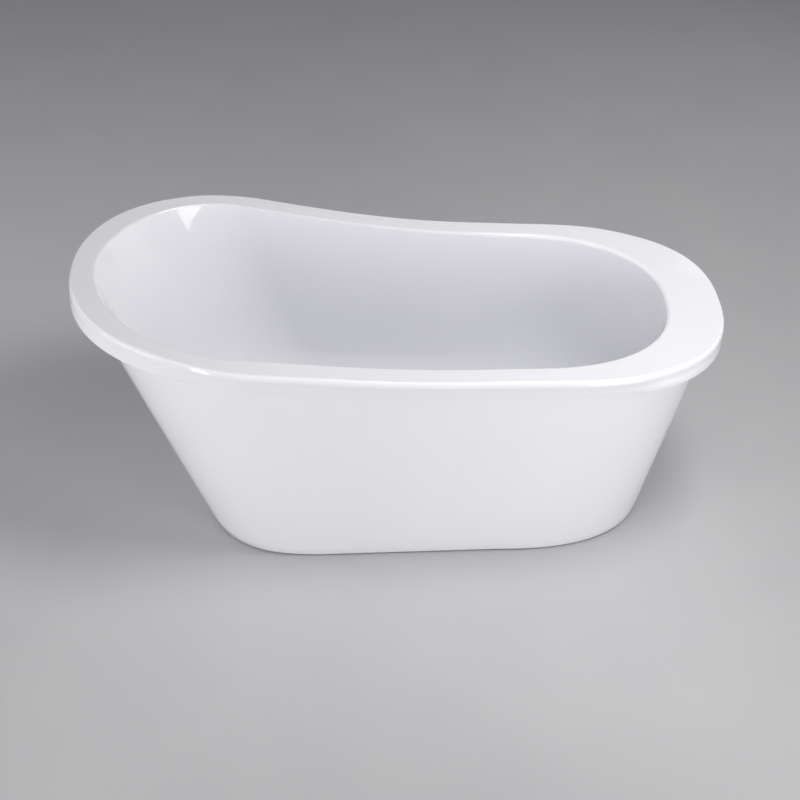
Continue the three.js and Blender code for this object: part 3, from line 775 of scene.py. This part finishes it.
plug_cap()
overflow_cover()
done = {"basin_shell", "skirt_shell", "plug_cap", "overflow_cover"}
for node in sorted(frame["nodes"]):
    if node in done:
        continue
    if node.startswith("foot_rod"):
        foot_rod(node)
    elif node.startswith("foot_pad"):
        foot_pad(node)
    elif "gasket" in node or node == "plug_seal":
        refined(node, 0.3)
    elif node.startswith(("frame_rail", "crossbar", "rim_bond_bead")):
        refined(node, 1.5, 3)
    elif node in ("baseboard", "tap_deck_board") or node.startswith("skirt_batten"):
        refined(node, 1.0)
    else:
        refined(node, 0.5)

# ---------------------------------------------------------------- floor, light and camera


def floor_and_world():
    mesh = bpy.data.meshes.new("studio_floor")
    half = 40.0
    corners = [(-half, -half, 0), (half, -half, 0), (half, half, 0), (-half, half, 0)]
    mesh.from_pydata(corners, [], [(0, 1, 2, 3)])
    m = Shade("studio_floor")
    m.colour(m.noise(3, 4), (0.3, (0.50, 0.50, 0.505)), (0.7, (0.52, 0.52, 0.523)))
    m.set(Roughness=0.7)
    mesh.materials.append(m.material)
    floor = made_object("studio_floor", mesh)
    floor.location.z = -0.0005
    world = scene.world or bpy.data.worlds.new("studio")
    scene.world = world
    world.use_nodes = True
    back = world.node_tree.nodes["Background"]
    back.inputs["Color"].default_value = (0.93, 0.95, 1.0, 1)
    back.inputs["Strength"].default_value = 0.18


def softbox(name, place, target, width, height, power, spread=180):
    """A rectangular light facing its target: metres, watts and degrees."""
    light = bpy.data.lights.new(name, "AREA")
    light.shape = "RECTANGLE"
    light.size, light.size_y = width, height
    light.energy = power
    light.spread = math.radians(spread)
    obj = bpy.data.objects.new(name, light)
    scene.collection.objects.link(obj)
    obj.location = place
    obj.rotation_euler = (Vector(target) - Vector(place)).to_track_quat("-Z", "Y").to_euler()


def camera():
    azimuth, elevation, roll = (math.radians(v) for v in (-5.197, 39.997, 3.531))
    distance, shift_across, shift_up = 4.253569, 0.0107814, -0.0491747
    aim = Vector((0, 0, 0.330))
    level = math.cos(elevation)
    back = Vector((math.sin(azimuth) * level, -math.cos(azimuth) * level, math.sin(elevation)))
    right = Vector((math.cos(azimuth), math.sin(azimuth), 0))
    up = back.cross(right)
    across = right * math.cos(roll) + up * math.sin(roll)
    upward = up * math.cos(roll) - right * math.sin(roll)
    place = aim + back * distance + across * shift_across + upward * shift_up
    data = bpy.data.cameras.new("camera")
    data.sensor_width = 36
    data.lens = 70.05654
    obj = bpy.data.objects.new("camera", data)
    scene.collection.objects.link(obj)
    turn = Matrix((across, upward, back)).transposed().to_4x4()
    obj.matrix_world = Matrix.Translation(place) @ turn
    scene.camera = obj


floor_and_world()
softbox("above_right", (1.0, -0.42, 2.8), (0.2, 0, 0.5), 1.0, 1.0, 45)
softbox("behind_right", (2.4, 2.4, 1.8), (0, 0, 0.4), 1.8, 1.5, 6)
softbox("foot_end", (3.3, 0.9, 1.4), (0.2, 0, 0.5), 2.4, 1.8, 8)
softbox("tall_left", (-1.05, -1.98, 0.95), (-0.45, -0.39, 0.95), 0.32, 1.8, 4.7, 110)
softbox("tall_right", (1.35, -1.80, 0.75), (0.5, -0.35, 0.75), 0.9, 1.4, 8, 110)
softbox("low_left", (-3.2, -1.6, 1.0), (-0.3, 0, 0.4), 2.4, 1.8, 40)
softbox("far_left", (-3.0, 0.9, 1.8), (-0.3, 0, 0.5), 2.2, 2.0, 18)
camera()
scene.view_settings.view_transform = "Standard"
